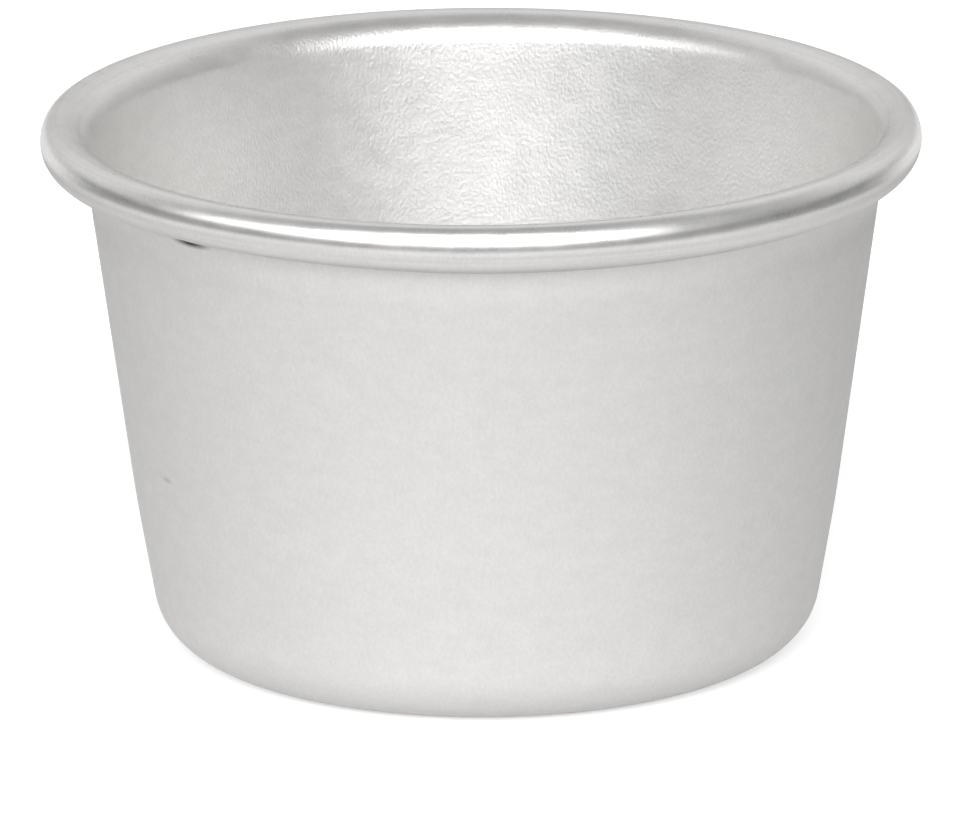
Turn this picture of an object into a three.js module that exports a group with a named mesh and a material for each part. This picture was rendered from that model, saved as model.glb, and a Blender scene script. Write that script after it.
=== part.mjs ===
// Dariole mould: a small tapered pudding mould, drawn from one disc of aluminium sheet, with its rim rolled
// outwards over a wire ring. Millimetres, +Z up, origin at the centre of the flat that the mould stands on.
import * as THREE from "three";

// Overall sizes
const RIM_DIAMETER = 80; // over the rolled rim
const HEIGHT = 49.2; // from the table to the top of the rim
const SHEET = 0.8; // thickness of the sheet

// Rolled rim: the wall flares outwards, turns over a tight shoulder and rolls down to its cut edge.
// The radii are those of the hidden side of the sheet, round the hollow.
const FLARE_BEND = 2;
const SHOULDER_BEND = 0.5;
const ROLL_BEND = 1.75;
const ROLL_START = 36; // degrees above level, where the shoulder runs into the roll
const SEAM_CLEARANCE = 0.3; // between the cut edge and the wall

// Wire that the rim is rolled over
const WIRE_CLEARANCE = 0.4; // on each side, across the hollow
const WIRE_END_GAP = 0.5; // between its two butted ends

// Wall and foot
const WALL_TAPER = 7.8; // degrees from upright, above the break
const BREAK_ANGLE = 2.1; // degrees that the wall leans in further below the break
const BREAK_HEIGHT = 13.5; // where the lines of the two tapers would meet, on the outside
const BREAK_RADIUS = 150; // outside blend between the two tapers
const CORNER_RADIUS = 5.6; // outside, between the wall and the base

// Facets
const TURNS = 72; // round the axis
const FLARE_STEPS = 5;
const SHOULDER_STEPS = 4;
const ROLL_STEPS = [2, 7]; // above and below its widest point
const CORNER_STEPS = 6;
const BREAK_STEPS = 2;
const WIRE_SIDES = 10;

// A step in the section plane, where x is the distance from the axis and y is the height
function stepAlong(angle, length) {
  return new THREE.Vector2(Math.cos(angle), Math.sin(angle)).multiplyScalar(length);
}

// Points along an arc of the section, both ends included
function arc(centre, radius, from, to, steps) {
  const points = [];
  for (let step = 0; step <= steps; step += 1) {
    const angle = from + ((to - from) * step) / steps;
    points.push(stepAlong(angle, radius).add(centre));
  }
  return points;
}

// Angles of the section, in radians
const wallTaper = THREE.MathUtils.degToRad(WALL_TAPER);
const footTaper = THREE.MathUtils.degToRad(WALL_TAPER + BREAK_ANGLE);
const flareStart = Math.PI - wallTaper;
const rollStart = THREE.MathUtils.degToRad(ROLL_START);

// Centres of the rim's three bends, each tangent to the next: the flare and the shoulder meet at the top
const rollReach = RIM_DIAMETER / 2 - SHEET - ROLL_BEND;
const topRadius = rollReach + (ROLL_BEND - SHOULDER_BEND) * Math.cos(rollStart);
const flareCentre = new THREE.Vector2(topRadius, HEIGHT - SHEET - FLARE_BEND);
const shoulderCentre = new THREE.Vector2(topRadius, HEIGHT - SHEET - SHOULDER_BEND);
const rollCentre = stepAlong(rollStart, SHOULDER_BEND - ROLL_BEND).add(shoulderCentre);

// The outside of the wall runs into the flare at its top. The roll ends where the outer corner of its cut
// edge stands the seam clearance off the wall.
const wallTop = stepAlong(flareStart, FLARE_BEND).add(flareCentre);
const rollOffWall = rollCentre.clone().sub(wallTop).dot(stepAlong(-wallTaper, 1));
const rollEnd = -wallTaper - Math.acos((SEAM_CLEARANCE - rollOffWall) / (ROLL_BEND + SHEET));

// The wire lies in the middle of the hollow, between the wall and the roll
const wireLevel = (flareCentre.y + rollCentre.y) / 2;
const hollowInside = wallTop.x + (wireLevel - wallTop.y) * Math.tan(wallTaper);
const hollowOutside = rollCentre.x + Math.sqrt(ROLL_BEND ** 2 - (rollCentre.y - wireLevel) ** 2);
const wireRing = (hollowInside + hollowOutside) / 2;
const wireRadius = (hollowOutside - hollowInside) / 2 - WIRE_CLEARANCE;

// Centre of the blend between the two tapers: from where their lines meet, up the wall and in to the axis
function breakCentre() {
  const meetingRadius = wallTop.x - (wallTop.y - BREAK_HEIGHT) * Math.tan(wallTaper);
  const tangentLength = BREAK_RADIUS * Math.tan((footTaper - wallTaper) / 2);
  return new THREE.Vector2(meetingRadius, BREAK_HEIGHT)
    .add(stepAlong(Math.PI / 2 - wallTaper, tangentLength))
    .add(stepAlong(flareStart, BREAK_RADIUS));
}

// Centre of the corner between the foot of the wall and the base, tangent to both
function cornerCentre(blend) {
  const footTop = stepAlong(-footTaper, BREAK_RADIUS).add(blend);
  const footRadius = footTop.x - (footTop.y - CORNER_RADIUS) * Math.tan(footTaper);
  return new THREE.Vector2(footRadius - CORNER_RADIUS / Math.cos(footTaper), CORNER_RADIUS);
}

// One face of the sheet, from the axis along the base, up the wall and round the rim. The depth is measured
// from the outside of the wall into the sheet, so the bends of the rim grow with it and the others shrink.
function sheetFace(depth) {
  const blend = breakCentre();
  const corner = cornerCentre(blend);
  return [
    new THREE.Vector2(0, depth),
    ...arc(corner, CORNER_RADIUS - depth, -Math.PI / 2, -footTaper, CORNER_STEPS),
    ...arc(blend, BREAK_RADIUS - depth, -footTaper, -wallTaper, BREAK_STEPS),
    ...arc(flareCentre, FLARE_BEND + depth, flareStart, Math.PI / 2, FLARE_STEPS),
    ...arc(shoulderCentre, SHOULDER_BEND + depth, Math.PI / 2, rollStart, SHOULDER_STEPS).slice(1),
    ...arc(rollCentre, ROLL_BEND + depth, rollStart, 0, ROLL_STEPS[0]).slice(1),
    ...arc(rollCentre, ROLL_BEND + depth, 0, rollEnd, ROLL_STEPS[1]).slice(1),
  ];
}

// The mould itself: base, wall and rolled rim are one piece of sheet
function drawnCup() {
  const section = [...sheetFace(0), ...sheetFace(SHEET).reverse()];
  const material = new THREE.MeshStandardMaterial({ color: 0xc8c9ca, roughness: 0.42, metalness: 1 });
  const cup = new THREE.Mesh(new THREE.LatheGeometry(section, TURNS), material);
  cup.name = "drawn_cup";
  cup.rotation.x = Math.PI / 2;
  return cup;
}

// Centre line of the wire: nearly a full circle, from one butted end to the other
class WireLine extends THREE.Curve {
  getPoint(share, target = new THREE.Vector3()) {
    const gapAngle = WIRE_END_GAP / wireRing;
    const onCircle = stepAlong(gapAngle / 2 + share * (2 * Math.PI - gapAngle), wireRing);
    return target.set(onCircle.x, onCircle.y, 0);
  }
}

// Wire ring that the rim is rolled over, hidden in the hollow
function rimWire() {
  const outline = arc(new THREE.Vector2(), wireRadius, 0, 2 * Math.PI, WIRE_SIDES).slice(1);
  const sweep = { steps: TURNS, extrudePath: new WireLine() };
  const geometry = new THREE.ExtrudeGeometry(new THREE.Shape(outline), sweep);
  const material = new THREE.MeshStandardMaterial({ color: 0x9a9c9e, roughness: 0.5, metalness: 1 });
  const wire = new THREE.Mesh(geometry, material);
  wire.name = "rim_wire";
  wire.position.z = wireLevel;
  return wire;
}

const mould = new THREE.Group();
mould.add(drawnCup(), rimWire());

export default mould;
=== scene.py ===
"""Looks of the dariole mould: the drawn aluminium cup with its rolled rim, in a plain white studio.

Metres, +Z up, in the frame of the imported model. The camera looks along +Y.
"""

from collections import namedtuple
import math

import bpy
from mathutils import Matrix, Vector


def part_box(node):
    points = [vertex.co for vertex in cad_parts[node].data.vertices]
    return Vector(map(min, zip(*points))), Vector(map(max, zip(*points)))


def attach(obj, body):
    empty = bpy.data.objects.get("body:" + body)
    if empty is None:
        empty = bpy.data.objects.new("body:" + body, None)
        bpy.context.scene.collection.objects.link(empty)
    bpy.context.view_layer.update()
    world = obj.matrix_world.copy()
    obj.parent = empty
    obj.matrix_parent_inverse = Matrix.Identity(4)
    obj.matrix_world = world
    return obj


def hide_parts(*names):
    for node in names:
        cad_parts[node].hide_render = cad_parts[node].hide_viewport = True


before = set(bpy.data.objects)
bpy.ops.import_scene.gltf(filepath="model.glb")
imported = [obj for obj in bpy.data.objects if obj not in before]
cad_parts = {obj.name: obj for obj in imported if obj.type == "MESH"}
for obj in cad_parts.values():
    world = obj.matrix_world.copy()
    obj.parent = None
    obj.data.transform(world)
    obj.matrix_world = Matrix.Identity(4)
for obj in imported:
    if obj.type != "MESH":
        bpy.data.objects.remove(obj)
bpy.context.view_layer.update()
cup_low, cup_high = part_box("drawn_cup")

# Section of the sheet
SHEET = 0.0008
FLARE_RADIUS = 0.0028  # where the wall turns outwards into the rim, on the inside of the mouth
SHOULDER_RADIUS = 0.0013  # tight turn over the outer top of the rim
ROLL_RADIUS = 0.00255  # outer face of the rim, down to its cut edge
ROLL_START = math.radians(36)  # above level, where the shoulder runs into the roll
SEAM_CLEARANCE = 0.00015  # between the cut edge and the wall
WALL_TAPER = math.radians(7.8)
FOOT_TAPER = math.radians(9.9)
BREAK_HEIGHT = 0.0135  # where the lines of the two tapers would meet, on the outside
BREAK_RADIUS = 0.150
CORNER_RADIUS = 0.0056

# Unevenness of the pressing
WALL_SHIFT = Vector((0.00035, -0.00025))  # how far the wall stands off the middle of the rim
PINCH_TURN = math.radians(-132)  # about +Z from +X, where the rim is rolled tighter
PINCH_HALF_WIDTH = math.radians(40)
PINCH_DEPTH = 0.0002
NICK_TURN = math.radians(-133.5)  # where the cut edge of the rim falls short
NICK_HALF_WIDTH = math.radians(4.1)
NICK_DEPTH = math.radians(62)  # by which the roll falls short there

# Painted shade on the outside: dark level marks, each an oval that fades from its middle
Mark = namedtuple("Mark", "place half_length flatness shade")
# painted shadow in the gap between the nick in the rim and the wall behind it
NICK_PAINTED_SHADOW = Mark(place=(-0.0258, -0.0249, 0.0441), half_length=0.0032, flatness=6, shade=0.03)
# painted shade of a small dent in the wall, which the mesh doesn't have
DENT_PAINTED_SHADE = Mark(place=(-0.0283, -0.0158, 0.0194), half_length=0.0013, flatness=3, shade=0.7)

# Mesh of the cup: columns round the axis, and rows along each stretch of the section
COLUMNS = 600
BASE_ROWS = 8
CORNER_ROWS = 14
FOOT_ROWS = 8
BREAK_ROWS = 4
WALL_ROWS = 16
FLARE_ROWS = 16
SHOULDER_ROWS = 10
ROLL_ROWS = 14
HEM_START = math.radians(-25)  # the last stretch of the roll, which ends at the cut edge
HEM_ROWS = 18
SHARP_ANGLE = math.radians(50)  # edges that turn by more stay sharp

# Finish of the aluminium: outside, at the top of the wall, inside, over the rim and under it
ROUGHNESS = (0.70, 0.52, 0.40, 0.29, 0.55)
# the lighter grey at the top of the wall is painted light, which lifts the shade under the rim
GREY = (0.57, 0.74, 0.72, 0.90, 0.61)
METALLIC = (0.3, 0.8, 0.78, 0.9, 0.8)
TINT = (1.009, 1.0, 0.988)  # shares of red, green and blue in every grey
EDGE_GREY = (0.7, 0.7, 0.95, 0.62, 0.5)  # shade of the metal's reflections at a grazing angle
WALL_TOP = (0.0405, 0.0447)  # heights over which the outside changes towards the rim
OVER_RIM = (math.radians(22), math.radians(45))  # turns of the sheet over which this finish sets in
UNDER_RIM = (math.radians(166), math.radians(188))

# Texture of the aluminium, with noise scales per metre and shares for the five finishes
GRAIN_SCALE = 3900
GRAIN_STRETCH = 0.7  # coarser up the wall than round it
GRAIN_DETAIL = 1.5
GRAIN_DEPTH = 0.000032
GRAIN_SHARE = (0.2, 0.2, 1.0, 0.12, 0.1)
GRAIN_SHADE = 0.17
STREAK_SCALE = 3000
STREAK_DETAIL = 0
STREAK_DRIFT = 0.02  # change along the rim, as a share of the change across it
STREAK_SHADE = (0.0, 0.0, 0.0, 0.15, 0.15)
MOTTLE_SCALE = 420
MOTTLE_STRETCH = 2
MOTTLE_DETAIL = 3
MOTTLE_SHADE = 0.14
MOTTLE_ROUGHNESS = 0.12

# Wire in the rim, with a spangle that varies its grey, its roughness and its surface
WIRE_GREY = 0.60
WIRE_SHADE = 0.15
WIRE_ROUGHNESS = (0.45, 0.6)
WIRE_DEPTH = 0.000032
SPANGLE_SCALE = 1500
SPANGLE_DETAIL = 3
SPANGLE_RANGE = (0.3, 0.7)  # noise at the darkest and the brightest spots

# Studio: two flat upright light panels in front, with sizes as tangents from the middle line of each,
# and walls that are brighter behind the mould
Panel = namedtuple("Panel", "turn half_width edge foot top light")
WIDE_PANEL = Panel(turn=math.radians(-30), half_width=1.3, edge=0.3, foot=0.32, top=0.85, light=1.9)
KEY_PANEL = Panel(turn=math.radians(-1), half_width=0.58, edge=0.85, foot=0.34, top=1.1, light=10.0)
PANEL_SOFTNESS = 0.06
PANEL_AHEAD = (0.0, 0.1)  # cosines from the direction of a panel, over which its light sets in
FRONT_LIGHT = 0.36
BACK_LIGHT = 0.9
WALLS_BLEND = (-0.1, 0.7)  # cosines from +Y over which the walls change from front to back
CEILING_LIGHT = 0.36
CEILING_EDGE = (0.8, 0.95)  # sines of the heights over which the walls darken to the ceiling
HORIZON_LIGHT = 0.12
HORIZON_HEIGHT = math.sin(math.radians(14))
HORIZON_EDGE = (HORIZON_HEIGHT, HORIZON_HEIGHT / 2)  # sines of the heights over which the front gets dark
FLOOR_HALF_SIDE = 4.0
FLOOR_GREY = 0.74
FLOOR_LIFT = 0.5  # glow that the camera and reflections see, which makes the floor white
FLOOR_EDGE = (0.10, 0.24)  # distances from the axis over which the floor gets dark in front
FLOOR_FAR_GREY = 0.2
DARK_SIDES = (0.85, 0.35)  # cosines from +Y over which the dark front of the floor and the studio begins

# The photograph's view
CAMERA_DISTANCE = 1.2595
CAMERA_ELEVATION = math.radians(15.94)
CAMERA_ROLL = math.radians(-0.34)
CAMERA_REACH = 20
SENSOR_WIDTH = 36  # millimetres
FOCAL_PIXELS = 13812
IMAGE_SIZE = (960, 828)
MOULD_CENTRE_PIXEL = (482.6, 374.6)  # where the middle of the mould lies in the photograph


# Small helpers for node trees
def add_node(tree, kind, inputs=None, **settings):
    node = tree.nodes.new(kind)
    for name, value in settings.items():
        setattr(node, name, value)
    for key, value in (inputs or {}).items():
        if isinstance(value, bpy.types.NodeSocket):
            tree.links.new(value, node.inputs[key])
        else:
            node.inputs[key].default_value = value
    return node


def calculate(tree, operation, *values):
    inputs = dict(enumerate(values))
    return add_node(tree, "ShaderNodeMath", inputs, operation=operation).outputs[0]


def product(tree, first, *others):
    for other in others:
        first = calculate(tree, "MULTIPLY", first, other)
    return first


def rescale(tree, value, old, new, smooth=False):
    inputs = {"Value": value, "From Min": old[0], "From Max": old[1], "To Min": new[0], "To Max": new[1]}
    kind = "SMOOTHSTEP" if smooth else "LINEAR"
    return add_node(tree, "ShaderNodeMapRange", inputs, interpolation_type=kind).outputs[0]


def fade(tree, value, start, end):
    """0 before the start, 1 past the end."""
    return rescale(tree, value, (start, end), (0.0, 1.0), smooth=True)


def mix(tree, share, first, second):
    return add_node(tree, "ShaderNodeMix", {"Factor": share, "A": first, "B": second}).outputs[0]


def spread(tree, value, middle, width):
    """A value from 0 to 1, spread evenly about a middle."""
    return rescale(tree, value, (0, 1), (middle - width / 2, middle + width / 2))


def noise(tree, vector, scale, detail):
    inputs = {"Vector": vector, "Scale": scale, "Detail": detail}
    return add_node(tree, "ShaderNodeTexNoise", inputs).outputs[0]


def attribute(tree, name):
    return add_node(tree, "ShaderNodeAttribute", attribute_name=name).outputs["Fac"]


def vector_math(tree, operation, *values):
    return add_node(tree, "ShaderNodeVectorMath", dict(enumerate(values)), operation=operation)


def grey_colour(tree, grey):
    shades = {i: calculate(tree, "MULTIPLY", grey, tint) for i, tint in enumerate(TINT)}
    return add_node(tree, "ShaderNodeCombineColor", shades).outputs[0]


def new_material(name):
    material = bpy.data.materials.new(name)
    material.use_nodes = True
    material.node_tree.nodes.clear()
    return material


# Section of the cup, as (distance from the axis, height)
def step_along(point, angle, length):
    return (point[0] + length * math.cos(angle), point[1] + length * math.sin(angle))


def arc(centre, radius, start, end, rows):
    return [step_along(centre, start + (end - start) * i / rows, radius) for i in range(rows + 1)]


def straight(start, end, rows):
    """The points between two ends, without the ends."""
    across, up = end[0] - start[0], end[1] - start[1]
    return [(start[0] + across * i / rows, start[1] + up * i / rows) for i in range(1, rows)]


def hump(turn, middle, half_width):
    """1 at the middle of a stretch of the rim, 0 from its ends on."""
    share = math.remainder(turn - middle, 2 * math.pi) / half_width
    return max(0.0, 1 - share**2)


def rim_bends(turn):
    """The flare, the shoulder and the roll at a turn about the axis, each as its centre and radius.

    The wall isn't quite in the middle of the rim, so the flare is tighter on the side that the wall is
    nearer to.
    """
    flare_radius = FLARE_RADIUS - WALL_SHIFT.dot((math.cos(turn), math.sin(turn)))
    roll_radius = ROLL_RADIUS - PINCH_DEPTH * hump(turn, PINCH_TURN, PINCH_HALF_WIDTH)
    top_radius = cup_high.x - roll_radius + (roll_radius - SHOULDER_RADIUS) * math.cos(ROLL_START)
    flare = (top_radius, cup_high.z - flare_radius)
    shoulder = (top_radius, cup_high.z - SHOULDER_RADIUS)
    roll = step_along(shoulder, ROLL_START, SHOULDER_RADIUS - roll_radius)
    return (flare, flare_radius), (shoulder, SHOULDER_RADIUS), (roll, roll_radius)


def wall_bends(wall_top):
    """Centres of the corner at the foot and of the blend between the two tapers."""
    meeting = (wall_top[0] - (wall_top[1] - BREAK_HEIGHT) * math.tan(WALL_TAPER), BREAK_HEIGHT)
    tangent_length = BREAK_RADIUS * math.tan((FOOT_TAPER - WALL_TAPER) / 2)
    tangent_point = step_along(meeting, math.pi / 2 - WALL_TAPER, tangent_length)
    blend = step_along(tangent_point, math.pi - WALL_TAPER, BREAK_RADIUS)
    foot_top = step_along(blend, -FOOT_TAPER, BREAK_RADIUS)
    foot_radius = foot_top[0] - (foot_top[1] - CORNER_RADIUS) * math.tan(FOOT_TAPER)
    return (foot_radius - CORNER_RADIUS / math.cos(FOOT_TAPER), CORNER_RADIUS), blend


def roll_end(turn, roll, radius, wall_top):
    """Where the cut edge stands the seam clearance off the wall, less where the edge falls short."""
    off_wall = (roll[0] - wall_top[0]) * math.cos(WALL_TAPER)
    off_wall -= (roll[1] - wall_top[1]) * math.sin(WALL_TAPER)
    end = -math.acos((SEAM_CLEARANCE - off_wall) / radius) - WALL_TAPER
    return end + NICK_DEPTH * hump(turn, NICK_TURN, NICK_HALF_WIDTH)


def sheet_face(depth, turn):
    """One face of the sheet from the axis to the cut edge, at a depth from the outside of the wall.

    Each point is its distance from the axis, its height and how far the sheet has turned over there.
    """
    flare, shoulder, roll = rim_bends(turn)
    wall_end = math.pi - WALL_TAPER
    wall_top = step_along(flare[0], wall_end, flare[1] - SHEET)
    corner, blend = wall_bends(wall_top)
    inset = depth - SHEET
    bends = (
        (BASE_ROWS, arc(corner, CORNER_RADIUS - depth, -math.pi / 2, -FOOT_TAPER, CORNER_ROWS)),
        (FOOT_ROWS, arc(blend, BREAK_RADIUS - depth, -FOOT_TAPER, -WALL_TAPER, BREAK_ROWS)),
        (WALL_ROWS, [step_along(flare[0], wall_end, flare[1] + inset)]),
    )
    points = [(0.0, depth)]
    for rows, bend in bends:
        points += straight(points[-1], bend[0], rows) + bend
    points = [(r, z, 0.0) for r, z in points]
    stretches = (
        (*flare, wall_end, math.pi / 2, FLARE_ROWS),
        (*shoulder, math.pi / 2, ROLL_START, SHOULDER_ROWS),
        (*roll, ROLL_START, HEM_START, ROLL_ROWS),
        (*roll, HEM_START, roll_end(turn, *roll, wall_top), HEM_ROWS),
    )
    for centre, radius, start, end, rows in stretches:
        for row in range(1, rows + 1):
            angle = start + (end - start) * row / rows
            points.append((*step_along(centre, angle, radius + inset), wall_end - angle))
    return points


def make_cup():
    """The sheet as one closed mesh, with how far it has turned and which face is inside as attributes."""
    vertices = [(0.0, 0.0, 0.0), (0.0, 0.0, SHEET)]
    on_axis = len(vertices)
    turned = [0.0] * on_axis
    for column in range(COLUMNS):
        turn = 2 * math.pi * column / COLUMNS
        outer = sheet_face(0.0, turn)[1:]
        inner = sheet_face(SHEET, turn)[1:]
        section = outer + inner[::-1]
        vertices += [(r * math.cos(turn), r * math.sin(turn), z) for r, z, _ in section]
        turned += [point[2] for point in section]
    rows = len(section)
    faces = []
    for column in range(COLUMNS):
        this = on_axis + column * rows
        following = on_axis + (column + 1) % COLUMNS * rows
        faces.append((0, following, this))
        faces.append((1, this + rows - 1, following + rows - 1))
        for row in range(rows - 1):
            faces.append((this + row, following + row, following + row + 1, this + row + 1))
    mesh = bpy.data.meshes.new("cup")
    mesh.from_pydata(vertices, [], faces)
    mesh.shade_smooth()
    mesh.set_sharp_from_angle(angle=SHARP_ANGLE)
    inside = [0.0, 1.0] + ([0.0] * len(outer) + [1.0] * len(inner)) * COLUMNS
    for name, values in (("turned", turned), ("inside", inside)):
        mesh.attributes.new(name, "FLOAT", "POINT").data.foreach_set("value", values)
    cup = bpy.data.objects.new("cup", mesh)
    bpy.context.scene.collection.objects.link(cup)
    return cup


def from_axis(tree, place):
    """Distance from the axis, and height."""
    x, y, z = add_node(tree, "ShaderNodeSeparateXYZ", {0: place}).outputs
    flat = add_node(tree, "ShaderNodeCombineXYZ", {0: x, 1: y}).outputs[0]
    return vector_math(tree, "LENGTH", flat).outputs["Value"], z


def by_finish(tree, values):
    """A value that changes from the outside of the mould to its inside, over its rim and under it."""
    outside, wall_top, inside, over, under = values
    turned = attribute(tree, "turned")
    _, height = from_axis(tree, add_node(tree, "ShaderNodeTexCoord").outputs["Object"])
    value = mix(tree, fade(tree, height, *WALL_TOP), outside, wall_top)
    value = mix(tree, attribute(tree, "inside"), value, inside)
    value = mix(tree, fade(tree, turned, *OVER_RIM), value, over)
    return mix(tree, fade(tree, turned, *UNDER_RIM), value, under)


def squeezed(tree, place, times):
    """A place with its height multiplied, which squeezes a noise that is made from it."""
    return vector_math(tree, "MULTIPLY", place, (1, 1, times)).outputs[0]


def rim_streaks(tree, place):
    """Fine lines round the rim, which change slowly along it."""
    radius, height = from_axis(tree, place)
    across = add_node(tree, "ShaderNodeCombineXYZ", {0: radius, 1: height}).outputs[0]
    inputs = {0: place, "Scale": STREAK_DRIFT}
    along = add_node(tree, "ShaderNodeVectorMath", inputs, operation="SCALE").outputs[0]
    lines = vector_math(tree, "ADD", across, along).outputs[0]
    return noise(tree, lines, STREAK_SCALE, STREAK_DETAIL)


def painted_shade(tree, place, mark):
    """Painted shade of a mark: 1 away from it and inside the mould, down to its shade in the middle."""
    off_middle = vector_math(tree, "SUBTRACT", place, mark.place).outputs[0]
    distance = vector_math(tree, "LENGTH", squeezed(tree, off_middle, mark.flatness)).outputs["Value"]
    shade = rescale(tree, distance, (0, mark.half_length), (mark.shade, 1.0), smooth=True)
    return mix(tree, attribute(tree, "inside"), shade, 1.0)


def aluminium():
    material = new_material("drawn_aluminium")
    tree = material.node_tree
    place = add_node(tree, "ShaderNodeTexCoord").outputs["Object"]
    grain = noise(tree, squeezed(tree, place, GRAIN_STRETCH), GRAIN_SCALE, GRAIN_DETAIL)
    mottle = noise(tree, squeezed(tree, place, MOTTLE_STRETCH), MOTTLE_SCALE, MOTTLE_DETAIL)
    streaks = spread(tree, rim_streaks(tree, place), 0, 1)
    streaks = product(tree, streaks, by_finish(tree, STREAK_SHADE))
    height = product(tree, grain, by_finish(tree, GRAIN_SHARE))
    bump = add_node(tree, "ShaderNodeBump", {"Height": height, "Distance": GRAIN_DEPTH}).outputs[0]
    uneven = spread(tree, mottle, 0, MOTTLE_ROUGHNESS)
    rough = calculate(tree, "ADD", by_finish(tree, ROUGHNESS), uneven)
    # the grey carries the painted shade of the nick's gap and of the dent
    grey = product(
        tree,
        by_finish(tree, GREY),
        spread(tree, mottle, 1, MOTTLE_SHADE),
        spread(tree, grain, 1, GRAIN_SHADE),
        calculate(tree, "ADD", 1.0, streaks),
        *(painted_shade(tree, place, mark) for mark in (NICK_PAINTED_SHADOW, DENT_PAINTED_SHADE)),
    )
    inputs = {
        "Base Color": grey_colour(tree, grey),
        "Metallic": by_finish(tree, METALLIC),
        "Specular Tint": grey_colour(tree, by_finish(tree, EDGE_GREY)),
        "Roughness": rough,
        "Normal": bump,
    }
    shader = add_node(tree, "ShaderNodeBsdfPrincipled", inputs)
    add_node(tree, "ShaderNodeOutputMaterial", {"Surface": shader.outputs[0]})
    return material


def galvanised_wire():
    material = new_material("galvanised_wire")
    tree = material.node_tree
    place = add_node(tree, "ShaderNodeTexCoord").outputs["Object"]
    spangle = noise(tree, place, SPANGLE_SCALE, SPANGLE_DETAIL)
    greys = ((1 - WIRE_SHADE) * WIRE_GREY, (1 + WIRE_SHADE) * WIRE_GREY)
    bump = add_node(tree, "ShaderNodeBump", {"Height": spangle, "Distance": WIRE_DEPTH}).outputs[0]
    inputs = {
        "Base Color": grey_colour(tree, rescale(tree, spangle, SPANGLE_RANGE, greys)),
        "Metallic": 1.0,
        "Roughness": rescale(tree, spangle, SPANGLE_RANGE, WIRE_ROUGHNESS),
        "Normal": bump,
    }
    shader = add_node(tree, "ShaderNodeBsdfPrincipled", inputs)
    add_node(tree, "ShaderNodeOutputMaterial", {"Surface": shader.outputs[0]})
    return material


def pale_floor():
    """Matt floor, white to the camera and in reflections, and dark far in front of the mould."""
    material = new_material("pale_floor")
    tree = material.node_tree
    rays = add_node(tree, "ShaderNodeLightPath").outputs
    seen = calculate(tree, "MAXIMUM", rays["Is Camera Ray"], rays["Is Glossy Ray"])
    seen = calculate(tree, "MAXIMUM", seen, rays["Is Transmission Ray"])
    place = add_node(tree, "ShaderNodeTexCoord").outputs["Object"]
    distance, _ = from_axis(tree, place)
    _, y, _ = add_node(tree, "ShaderNodeSeparateXYZ", {0: place}).outputs
    behind = calculate(tree, "DIVIDE", y, distance)
    far = product(tree, fade(tree, distance, *FLOOR_EDGE), fade(tree, behind, *DARK_SIDES))
    grey = mix(tree, far, FLOOR_GREY, FLOOR_FAR_GREY)
    lift = product(tree, seen, mix(tree, far, FLOOR_LIFT, 0.0))
    colour = add_node(tree, "ShaderNodeCombineColor", {0: grey, 1: grey, 2: grey}).outputs[0]
    diffuse = add_node(tree, "ShaderNodeBsdfDiffuse", {"Color": colour})
    glow = add_node(tree, "ShaderNodeEmission", {"Strength": lift})
    both = add_node(tree, "ShaderNodeAddShader", {0: diffuse.outputs[0], 1: glow.outputs[0]})
    add_node(tree, "ShaderNodeOutputMaterial", {"Surface": both.outputs[0]})
    return material


def make_floor():
    side = FLOOR_HALF_SIDE
    corners = [(-side, -side, 0), (side, -side, 0), (side, side, 0), (-side, side, 0)]
    mesh = bpy.data.meshes.new("floor")
    mesh.from_pydata(corners, [], [(0, 1, 2, 3)])
    mesh.materials.append(pale_floor())
    floor = bpy.data.objects.new("floor", mesh)
    bpy.context.scene.collection.objects.link(floor)


def panel_light(tree, direction, panel):
    """Light from a flat upright panel, as it looks from the mould."""
    facing = (math.sin(panel.turn), -math.cos(panel.turn), 0)
    level = (math.cos(panel.turn), math.sin(panel.turn), 0)
    ahead, along, up = (
        vector_math(tree, "DOT_PRODUCT", direction, axis).outputs["Value"]
        for axis in (facing, level, (0, 0, 1))
    )
    across = calculate(tree, "ABSOLUTE", calculate(tree, "DIVIDE", along, ahead))
    height = calculate(tree, "DIVIDE", up, ahead)
    return product(
        tree,
        fade(tree, ahead, *PANEL_AHEAD),
        fade(tree, across, panel.half_width + panel.edge, panel.half_width - panel.edge),
        fade(tree, height, panel.foot - PANEL_SOFTNESS, panel.foot + PANEL_SOFTNESS),
        fade(tree, height, panel.top + PANEL_SOFTNESS, panel.top - PANEL_SOFTNESS),
        panel.light,
    )


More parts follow.
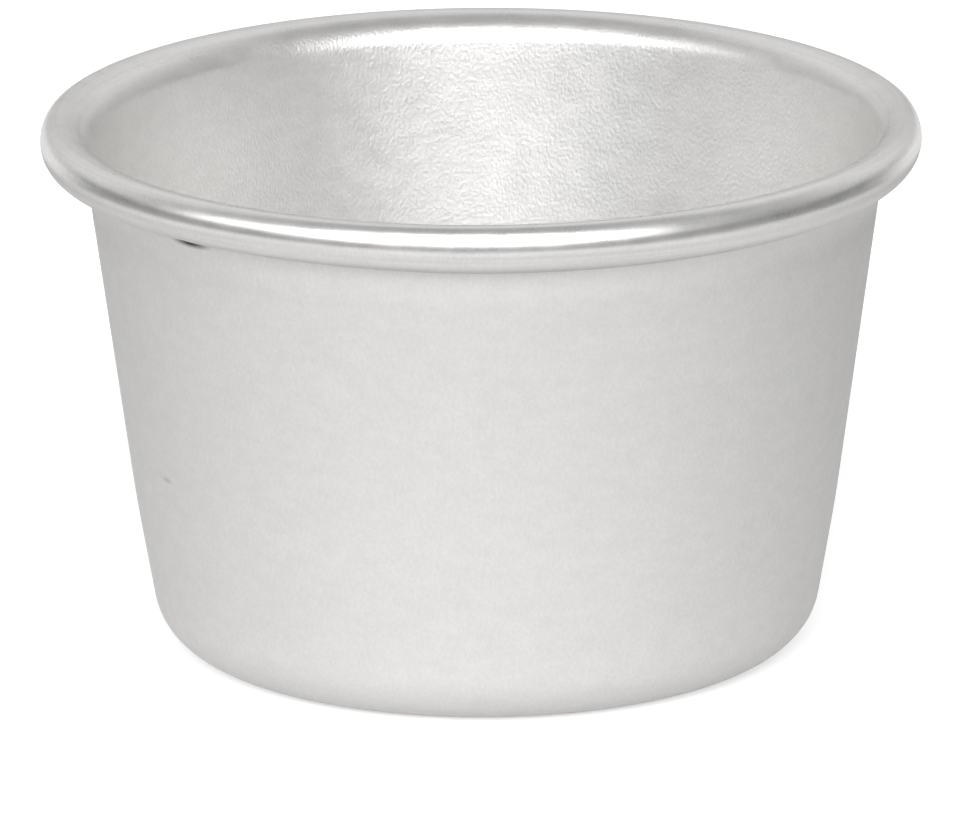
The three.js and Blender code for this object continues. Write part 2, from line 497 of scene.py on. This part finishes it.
def make_studio():
    world = bpy.data.worlds.new("studio")
    bpy.context.scene.world = world
    world.use_nodes = True
    tree = world.node_tree
    tree.nodes.clear()
    direction = add_node(tree, "ShaderNodeTexCoord").outputs["Generated"]
    _, y, z = add_node(tree, "ShaderNodeSeparateXYZ", {0: direction}).outputs
    walls = rescale(tree, y, WALLS_BLEND, (FRONT_LIGHT, BACK_LIGHT), smooth=True)
    walls = mix(tree, fade(tree, z, *CEILING_EDGE), walls, CEILING_LIGHT)
    low = product(tree, fade(tree, z, *HORIZON_EDGE), fade(tree, y, *DARK_SIDES))
    strength = mix(tree, low, walls, HORIZON_LIGHT)
    for panel in (WIDE_PANEL, KEY_PANEL):
        strength = calculate(tree, "ADD", strength, panel_light(tree, direction, panel))
    background = add_node(tree, "ShaderNodeBackground", {"Strength": strength})
    add_node(tree, "ShaderNodeOutputWorld", {"Surface": background.outputs[0]})


def make_camera():
    centre = Vector((0, 0, (cup_low.z + cup_high.z) / 2))
    towards = Vector((0, math.cos(CAMERA_ELEVATION), -math.sin(CAMERA_ELEVATION)))
    right = Vector((1, 0, 0))
    up = right.cross(towards)
    per_pixel = CAMERA_DISTANCE / FOCAL_PIXELS
    position = centre - towards * CAMERA_DISTANCE
    aim = (
        centre
        + right * (IMAGE_SIZE[0] / 2 - MOULD_CENTRE_PIXEL[0]) * per_pixel
        - up * (IMAGE_SIZE[1] / 2 - MOULD_CENTRE_PIXEL[1]) * per_pixel
    )
    data = bpy.data.cameras.new("camera")
    data.sensor_width = SENSOR_WIDTH
    data.lens = FOCAL_PIXELS / IMAGE_SIZE[0] * data.sensor_width
    data.clip_end = CAMERA_REACH
    camera = bpy.data.objects.new("camera", data)
    turn = (aim - position).to_track_quat("-Z", "Y").to_matrix().to_4x4()
    camera.matrix_world = Matrix.Translation(position) @ turn @ Matrix.Rotation(CAMERA_ROLL, 4, "Z")
    bpy.context.scene.collection.objects.link(camera)
    bpy.context.scene.camera = camera


cup = make_cup()
cup.data.materials.append(aluminium())
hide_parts("drawn_cup")
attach(cup, "root")

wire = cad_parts["rim_wire"]
wire.data.materials.clear()
wire.data.materials.append(galvanised_wire())

make_floor()
make_studio()
make_camera()
bpy.context.scene.view_settings.view_transform = "Standard"
